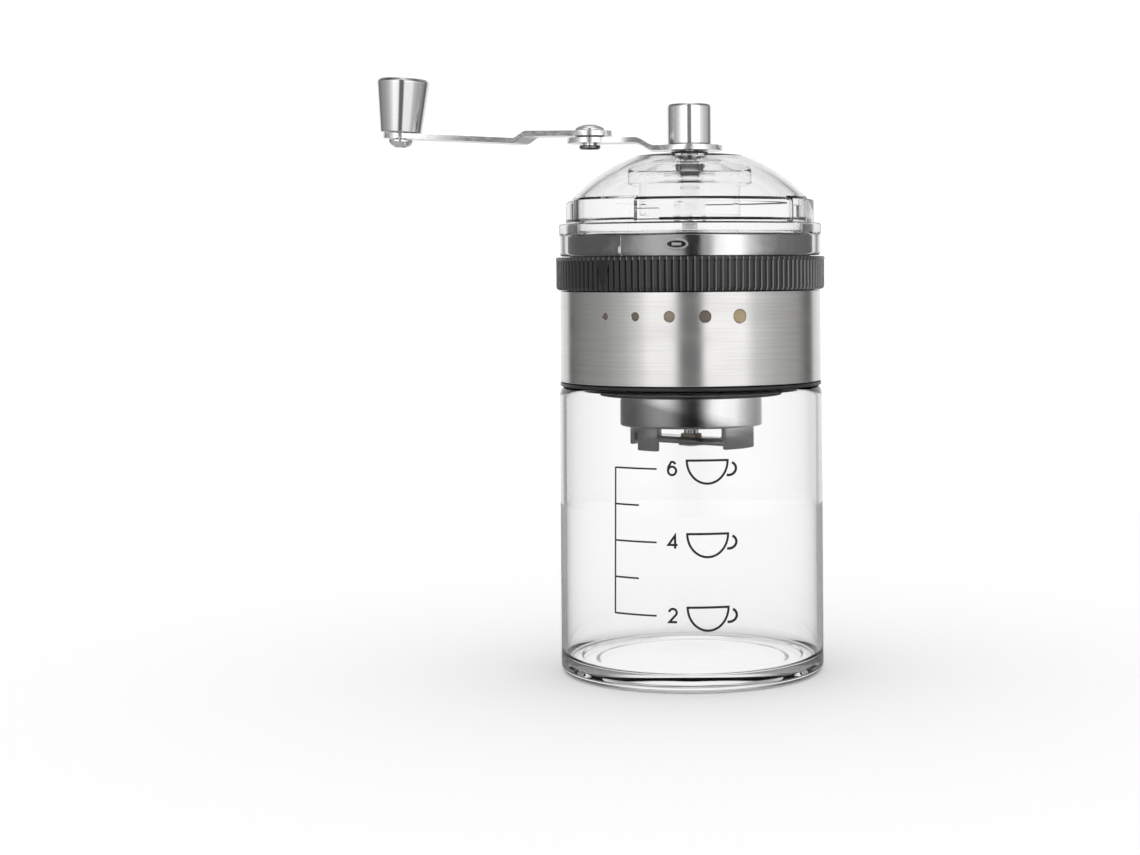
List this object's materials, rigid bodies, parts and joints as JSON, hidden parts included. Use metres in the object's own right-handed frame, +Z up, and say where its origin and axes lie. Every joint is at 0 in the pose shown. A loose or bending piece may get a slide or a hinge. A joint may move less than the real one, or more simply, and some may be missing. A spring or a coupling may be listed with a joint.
{
  "type": "hand crank coffee grinder",
  "caption": "Manual coffee grinder: clear jar, steel-banded burr head with ribbed grind adjuster, clear domed bean lid and folding crank with a tapered knob.",
  "frame": {"origin": "centre of the jar's flat underside, which the grinder stands on", "axes": "+Z up along the crank's axis; the scale faces -Y; the crank lies towards -X at rest"},
  "size_m": [0.1472, 0.0886, 0.1957],
  "materials": {
    "jar_glass": "clear polished glass with printed scale",
    "clear_plastic": "clear acrylic, glossy",
    "black_plastic": "fine satin moulded plastic",
    "ring_plastic": "ribbed satin moulded plastic",
    "seal_rubber": "soft matte rubber",
    "brushed_steel": "brushed round the band",
    "scale_insert": "tan moulded inserts",
    "trim_chrome": "bright plated trim",
    "smoked_chrome": "dark smoked plating",
    "burr_ceramic": "fine matte ceramic",
    "bronze": "sintered bearing bronze",
    "shaft_steel": "turned steel",
    "spring_steel": "plain spring steel",
    "arm_steel": "polished stamped steel",
    "crank_chrome": "polished chrome"
  },
  "bodies": {
    "jar": {"glass_jar": "jar_glass"},
    "head": {"jar_seal": "seal_rubber", "base_collar": "black_plastic", "steel_band": "brushed_steel", "grind_mark_1": "scale_insert", "grind_mark_2": "scale_insert", "grind_mark_3": "scale_insert", "grind_mark_4": "scale_insert", "grind_mark_5": "scale_insert", "body_core": "black_plastic", "detent_spring": "spring_steel", "hopper_collar": "clear_plastic", "chrome_band": "trim_chrome", "band_catch": "trim_chrome", "burr_housing": "smoked_chrome", "housing_screw_1": "spring_steel", "housing_screw_2": "spring_steel", "housing_screw_3": "spring_steel", "lower_bridge": "smoked_chrome", "bridge_bushing": "bronze"},
    "adjuster": {"adjuster_ring": "ring_plastic"},
    "carrier": {"bean_funnel": "black_plastic", "cam_pin_1": "spring_steel", "cam_pin_2": "spring_steel", "cam_pin_3": "spring_steel", "outer_burr": "burr_ceramic", "carrier_spring": "spring_steel"},
    "drive": {"drive_shaft": "shaft_steel", "inner_burr": "burr_ceramic", "burr_nut": "shaft_steel", "shaft_clip": "spring_steel"},
    "lid": {"lid_dome": "clear_plastic", "lid_hub": "clear_plastic", "lid_bushing": "black_plastic"},
    "crank": {"crank_spindle": "shaft_steel", "hub_washer": "seal_rubber", "inner_arm": "arm_steel", "cap_nut": "crank_chrome", "fold_rivet": "crank_chrome", "fold_washer": "shaft_steel"},
    "handle": {"outer_arm": "arm_steel", "knob_screw": "shaft_steel", "knob_sleeve": "shaft_steel", "knob_washer": "shaft_steel"},
    "grip": {"knob": "crank_chrome", "knob_cap": "crank_chrome"}
  },
  "joints": [
    {"name": "head_lift", "type": "slide", "parent": "jar", "child": "head", "axis": [0, 0, 1], "range_m": [0, 0.06]},
    {"name": "grind_adjust", "type": "hinge", "parent": "head", "child": "adjuster", "pos_m": [0, 0, 0.1303], "axis": [0, 0, 1], "range_deg": [0, 60]},
    {"name": "carrier_lift", "type": "slide", "parent": "head", "child": "carrier", "axis": [0, 0, 1], "range_m": [0, 0.0012], "deforming": ["carrier_spring"]},
    {"name": "crank_spin", "type": "hinge", "parent": "lid", "child": "crank", "pos_m": [0, 0, 0.1715], "axis": [0, 0, 1], "continuous": true},
    {"name": "drive_spin", "type": "hinge", "parent": "head", "child": "drive", "pos_m": [0, 0, 0.09], "axis": [0, 0, 1], "continuous": true},
    {"name": "lid_lift", "type": "slide", "parent": "head", "child": "lid", "axis": [0, 0, 1], "range_m": [0, 0.045]},
    {"name": "crank_fold", "type": "hinge", "parent": "crank", "child": "handle", "pos_m": [-0.0329, 0, 0.17655], "axis": [0, 0, 1], "range_deg": [-142, 142]},
    {"name": "knob_spin", "type": "hinge", "parent": "handle", "child": "grip", "pos_m": [-0.0953, 0, 0.17609], "axis": [0.0506, 0, 0.9987], "continuous": true}
  ],
  "couplings": [
    {"joint": "carrier_lift", "follows": "grind_adjust", "m_per_rad": 0.0011459},
    {"joint": "drive_spin", "follows": "crank_spin", "ratio": 1}
  ]
}
